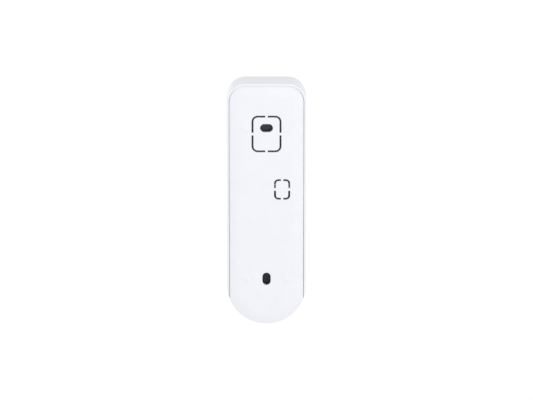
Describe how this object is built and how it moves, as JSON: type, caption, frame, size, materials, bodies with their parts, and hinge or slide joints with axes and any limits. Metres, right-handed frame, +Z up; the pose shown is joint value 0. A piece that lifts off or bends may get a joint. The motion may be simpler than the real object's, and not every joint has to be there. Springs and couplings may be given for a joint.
{
  "type": "video doorbell",
  "caption": "Slim wired video doorbell that hooks onto a slotted wall plate and locks with one screw from below; lit ring button, camera, speaker.",
  "frame": {"origin": "on the wall plane, at the middle of the mounting plate's back face", "axes": "+Z up, +Y into the wall, the button and the camera face -Y"},
  "size_m": [0.047, 0.0285, 0.145],
  "materials": {
    "shell_white": "fine satin moulded plastic",
    "plate_white": "fine satin moulded plastic",
    "cover_grey": "spark-eroded matt",
    "bezel_black": "polished",
    "ring_metal": "anodised satin",
    "window_glass": "polished",
    "optics": "coated",
    "pir_white": "milky polyethylene",
    "button_white": "satin gloss",
    "light_guide": "frosted",
    "steel": "zinc plated",
    "shield_steel": "tinned",
    "brass": "turned",
    "board_green": "solder mask",
    "chip_black": "moulded epoxy",
    "part_ivory": "moulded",
    "gasket_rubber": "matt",
    "seal_silicone": "matt",
    "capacitor_sleeve": "shrink sleeve",
    "copper": "enamelled wire",
    "antenna_film": "printed film",
    "flex_amber": "polyimide film",
    "terminal_green": "moulded",
    "reset_orange": "moulded",
    "label_white": "blank film",
    "mesh_black": "fine woven mesh",
    "lead_black": "extruded"
  },
  "bodies": {
    "mounting_plate": {"mounting_plate": "plate_white"},
    "security_screw": {"security_screw": "steel"},
    "unit": {"front_housing": "shell_white", "rear_cover": "cover_grey", "rear_gasket": "gasket_rubber", "rear_cover_screws": "steel", "security_insert": "brass", "rating_label": "label_white", "terminal_block": "terminal_green", "terminal_screws": "steel", "terminal_washers": "shield_steel", "terminal_seal": "gasket_rubber", "tamper_switch": "chip_black", "reset_switch": "chip_black", "pin_seals": "gasket_rubber", "main_board": "board_green", "board_screws": "steel", "processor_shield": "shield_steel", "radio_shield": "shield_steel", "board_chips": "chip_black", "board_connectors": "part_ivory", "supercapacitors": "capacitor_sleeve", "power_inductor": "chip_black", "wifi_antenna": "antenna_film", "antenna_cable": "lead_black", "camera_bezel": "bezel_black", "lens_ring": "ring_metal", "lens_window": "window_glass", "lens_barrel": "chip_black", "lens_elements": "optics", "filter_housing": "chip_black", "filter_coil": "copper", "sensor_board": "board_green", "image_sensor": "optics", "camera_flex": "flex_amber", "ir_led_board": "board_green", "ir_leds": "window_glass", "ir_led_flex": "flex_amber", "pir_lens": "pir_white", "pir_sensor": "shield_steel", "speaker_frame": "chip_black", "speaker_magnet": "steel", "speaker_mesh": "mesh_black", "speaker_leads": "lead_black", "microphone": "brass", "microphone_boot": "gasket_rubber", "light_ring": "light_guide", "button_seal": "seal_silicone", "button_switch": "chip_black", "button_board": "board_green", "ring_leds": "part_ivory", "button_flex": "flex_amber"},
    "tamper_pin": {"tamper_pin": "part_ivory"},
    "reset_button": {"reset_button": "reset_orange"},
    "night_filter": {"filter_slider": "chip_black", "filter_glasses": "optics"},
    "speaker_cone": {"speaker_cone": "chip_black"},
    "bell_button": {"button_cap": "button_white"},
    "switch_plunger": {"switch_plunger": "part_ivory"}
  },
  "joints": [
    {"name": "unit_release", "type": "slide", "parent": "mounting_plate", "child": "unit", "axis": [0, 0, 1], "range_m": [0, 0.0052]},
    {"name": "security_screw_out", "type": "slide", "parent": "mounting_plate", "child": "security_screw", "axis": [0, 0, -1], "range_m": [0, 0.006]},
    {"name": "bell_press", "type": "slide", "parent": "unit", "child": "bell_button", "axis": [0, 1, 0], "range_m": [0, 0.0006], "stiffness_N_per_m": 4000, "springref_m": -0.00025},
    {"name": "switch_press", "type": "slide", "parent": "unit", "child": "switch_plunger", "axis": [0, 1, 0], "range_m": [0, 0.0006]},
    {"name": "tamper_press", "type": "slide", "parent": "unit", "child": "tamper_pin", "axis": [0, -1, 0], "range_m": [0, 0.0005], "stiffness_N_per_m": 800, "springref_m": -0.0006},
    {"name": "reset_press", "type": "slide", "parent": "unit", "child": "reset_button", "axis": [0, -1, 0], "range_m": [0, 0.0005], "stiffness_N_per_m": 4000, "springref_m": -0.00025},
    {"name": "filter_shift", "type": "slide", "parent": "unit", "child": "night_filter", "axis": [1, 0, 0], "range_m": [0, 0.006]},
    {"name": "cone_travel", "type": "slide", "parent": "unit", "child": "speaker_cone", "axis": [0, -1, 0], "range_m": [-0.0003, 0.0003], "stiffness_N_per_m": 1500}
  ],
  "couplings": [
    {"joint": "switch_press", "follows": "bell_press", "ratio": 1}
  ]
}
